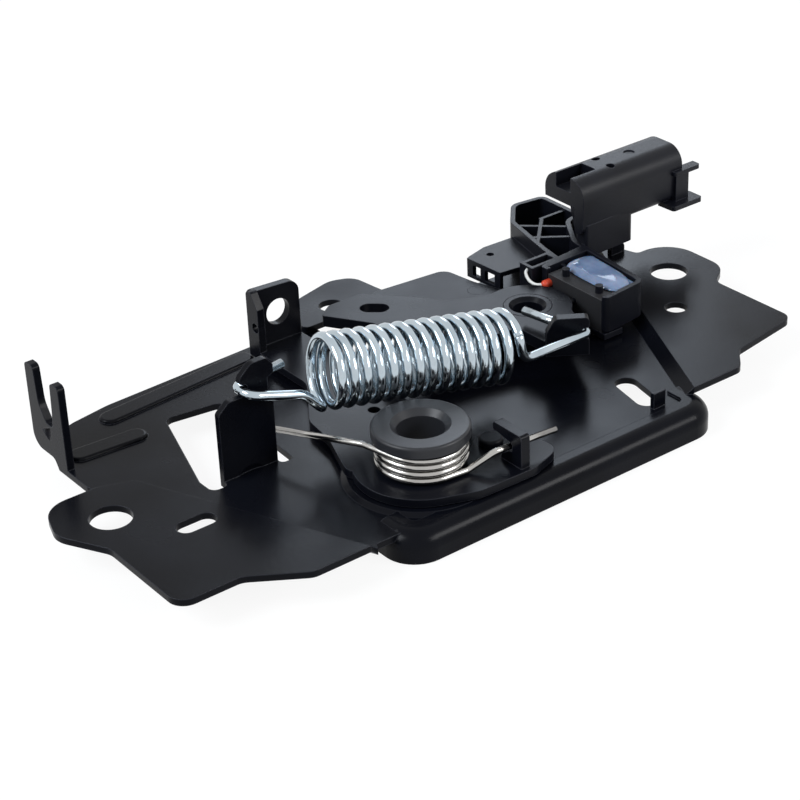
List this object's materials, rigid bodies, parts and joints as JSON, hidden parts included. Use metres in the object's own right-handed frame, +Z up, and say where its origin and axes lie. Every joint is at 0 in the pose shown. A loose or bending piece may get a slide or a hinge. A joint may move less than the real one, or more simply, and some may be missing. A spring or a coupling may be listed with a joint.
{
  "type": "bonnet latch",
  "caption": "Bonnet latch on a pressed base with winged ends: sprung claw over a striker slot, release lever on a bush, safety catch, snap switch and side connector.",
  "frame": {"origin": "centre of the left bolt hole on the base's mounting face, which is the underside of the wings", "axes": "+X along the base towards the connector, +Y towards the edge where the striker enters, +Z up, out of the mounting face"},
  "size_m": [0.2513, 0.1356, 0.0446],
  "materials": {
    "coated_steel": "satin black electro-coated pressed steel",
    "dark_steel": "dull dark phosphated steel",
    "bright_steel": "zinc-plated spring wire",
    "spring_steel": "dark oiled spring wire",
    "black_plastic": "fine-grained black moulding",
    "grey_plastic": "dark grey switch body",
    "gel": "translucent blue-grey potting",
    "contact": "tinned contact blade"
  },
  "bodies": {
    "base": {"base_plate": "coated_steel", "pivot_bush": "coated_steel", "claw_rivet": "dark_steel", "claw_spacer": "dark_steel", "claw_washer": "coated_steel", "guide_plate": "dark_steel", "guide_rivet": "dark_steel", "catch_pin": "dark_steel", "switch_housing": "black_plastic", "microswitch": "grey_plastic", "sealing_gel": "gel", "terminal_1": "contact", "terminal_2": "contact", "extension_spring": "bright_steel"},
    "lever": {"release_lever": "dark_steel", "lever_rivet": "dark_steel", "torsion_spring": "spring_steel"},
    "claw": {"claw": "dark_steel"},
    "catch": {"safety_catch": "dark_steel"},
    "plunger": {"switch_plunger": "black_plastic"}
  },
  "joints": [
    {"name": "lever_pivot", "type": "hinge", "parent": "base", "child": "lever", "pos_m": [0.0796, -0.0333, 0.0015], "axis": [0, 0, 1], "range_deg": [0, 8], "stiffness_Nm_per_rad": 0.6, "springref_deg": -17.19, "deforming": ["torsion_spring"]},
    {"name": "claw_pivot", "type": "hinge", "parent": "base", "child": "claw", "pos_m": [0.1532, 0.0082, 0.0081], "axis": [0, 0, 1], "range_deg": [-34, 0], "deforming": ["extension_spring"]},
    {"name": "catch_pivot", "type": "hinge", "parent": "base", "child": "catch", "pos_m": [0.14, 0.024, 0.0005], "axis": [0, 0, 1], "range_deg": [-25, 0], "stiffness_Nm_per_rad": 0.05, "springref_deg": 8.59},
    {"name": "plunger_slide", "type": "slide", "parent": "base", "child": "plunger", "axis": [1, 0, 0], "range_m": [0, 0.001], "stiffness_N_per_m": 300, "springref_m": -0.0005}
  ],
  "couplings": [
    {"joint": "claw_pivot", "follows": "lever_pivot", "ratio": -4.25}
  ]
}
